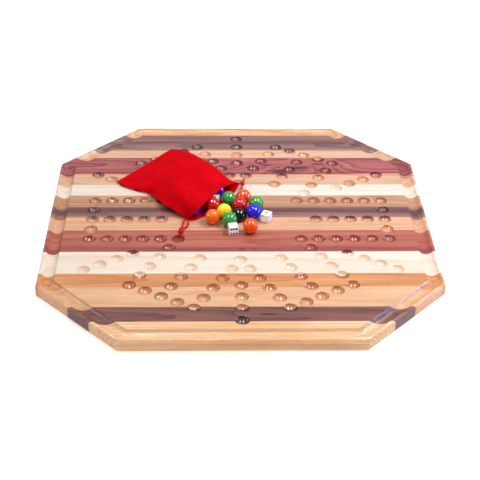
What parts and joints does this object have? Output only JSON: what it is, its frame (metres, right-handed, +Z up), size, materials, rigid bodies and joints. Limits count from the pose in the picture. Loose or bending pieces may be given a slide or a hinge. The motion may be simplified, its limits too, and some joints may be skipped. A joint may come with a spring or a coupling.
{
  "type": "marble race board game",
  "caption": "Octagonal laminated hardwood game board with round marble dimples and an edge groove, glass marbles, dice and a velvet drawstring pouch.",
  "frame": {"origin": "centre of the board's underside, on the surface that it lies on", "axes": "+Z up out of the playing face, +X along the staves, +Y towards the far edge"},
  "size_m": [0.4, 0.4, 0.0326],
  "materials": {
    "alder": "clear gloss varnish",
    "walnut": "clear gloss varnish",
    "cherry": "clear gloss varnish",
    "cedar": "clear gloss varnish",
    "ash": "clear gloss varnish",
    "maple": "clear gloss varnish",
    "oak": "clear gloss varnish",
    "glass_orange": "opaque polished glass",
    "glass_yellow": "opaque polished glass",
    "glass_green": "opaque polished glass",
    "glass_red": "opaque polished glass",
    "glass_blue": "opaque polished glass",
    "glass_black": "opaque polished glass",
    "die": "polished white, coloured spots",
    "velvet": "short pile velvet",
    "cord": "braided satin cord"
  },
  "bodies": {
    "board": {"stave_01_alder": "alder", "stave_02_walnut": "walnut", "stave_03_cherry": "cherry", "stave_04_cedar": "cedar", "stave_05_ash": "ash", "stave_06_maple": "maple", "stave_07_oak": "oak", "stave_08_walnut": "walnut", "stave_09_cherry": "cherry", "stave_10_cedar": "cedar", "stave_11_maple": "maple", "stave_12_cherry": "cherry", "stave_13_alder": "alder", "stave_14_walnut": "walnut", "stave_15_alder": "alder"},
    "pouch": {"pouch_upper_panel": "velvet", "pouch_lower_panel": "velvet", "marble_red_2": "glass_red", "marble_blue_2": "glass_blue", "marble_blue_3": "glass_blue", "marble_yellow_2": "glass_yellow", "marble_yellow_3": "glass_yellow", "marble_yellow_4": "glass_yellow", "marble_black_2": "glass_black", "marble_black_3": "glass_black", "marble_black_4": "glass_black", "marble_red_3": "glass_red", "marble_red_4": "glass_red", "marble_orange_4": "glass_orange", "marble_green_4": "glass_green", "marble_blue_4": "glass_blue", "die_3": "die", "near_strand_a": "cord", "near_strand_b": "cord", "near_tail_a": "cord", "near_tail_b": "cord", "near_knot": "cord", "far_strand": "cord", "far_tail": "cord", "far_knot": "cord"},
    "marble_orange_1_body": {"marble_orange_1": "glass_orange"},
    "marble_orange_2_body": {"marble_orange_2": "glass_orange"},
    "marble_orange_3_body": {"marble_orange_3": "glass_orange"},
    "marble_yellow_1_body": {"marble_yellow_1": "glass_yellow"},
    "marble_green_1_body": {"marble_green_1": "glass_green"},
    "marble_green_2_body": {"marble_green_2": "glass_green"},
    "marble_green_3_body": {"marble_green_3": "glass_green"},
    "marble_blue_1_body": {"marble_blue_1": "glass_blue"},
    "marble_red_1_body": {"marble_red_1": "glass_red"},
    "marble_black_1_body": {"marble_black_1": "glass_black"},
    "die_1_body": {"die_1": "die"},
    "die_2_body": {"die_2": "die"}
  },
  "joints": [
    {"name": "pouch_lift", "type": "slide", "parent": "board", "child": "pouch", "axis": [0, 0, 1], "range_m": [0, 0.06]},
    {"name": "marble_orange_1_lift", "type": "slide", "parent": "board", "child": "marble_orange_1_body", "axis": [0, 0, 1], "range_m": [0, 0.06]},
    {"name": "marble_orange_2_lift", "type": "slide", "parent": "board", "child": "marble_orange_2_body", "axis": [0, 0, 1], "range_m": [0, 0.06]},
    {"name": "marble_orange_3_lift", "type": "slide", "parent": "board", "child": "marble_orange_3_body", "axis": [0, 0, 1], "range_m": [0, 0.06]},
    {"name": "marble_yellow_1_lift", "type": "slide", "parent": "board", "child": "marble_yellow_1_body", "axis": [0, 0, 1], "range_m": [0, 0.06]},
    {"name": "marble_green_1_lift", "type": "slide", "parent": "board", "child": "marble_green_1_body", "axis": [0, 0, 1], "range_m": [0, 0.06]},
    {"name": "marble_green_2_lift", "type": "slide", "parent": "board", "child": "marble_green_2_body", "axis": [0, 0, 1], "range_m": [0, 0.06]},
    {"name": "marble_green_3_lift", "type": "slide", "parent": "board", "child": "marble_green_3_body", "axis": [0, 0, 1], "range_m": [0, 0.06]},
    {"name": "marble_blue_1_lift", "type": "slide", "parent": "board", "child": "marble_blue_1_body", "axis": [0, 0, 1], "range_m": [0, 0.06]},
    {"name": "marble_red_1_lift", "type": "slide", "parent": "board", "child": "marble_red_1_body", "axis": [0, 0, 1], "range_m": [0, 0.06]},
    {"name": "marble_black_1_lift", "type": "slide", "parent": "board", "child": "marble_black_1_body", "axis": [0, 0, 1], "range_m": [0, 0.06]},
    {"name": "die_1_lift", "type": "slide", "parent": "board", "child": "die_1_body", "axis": [0, 0, 1], "range_m": [0, 0.06]},
    {"name": "die_2_lift", "type": "slide", "parent": "board", "child": "die_2_body", "axis": [0, 0, 1], "range_m": [0, 0.06]}
  ]
}
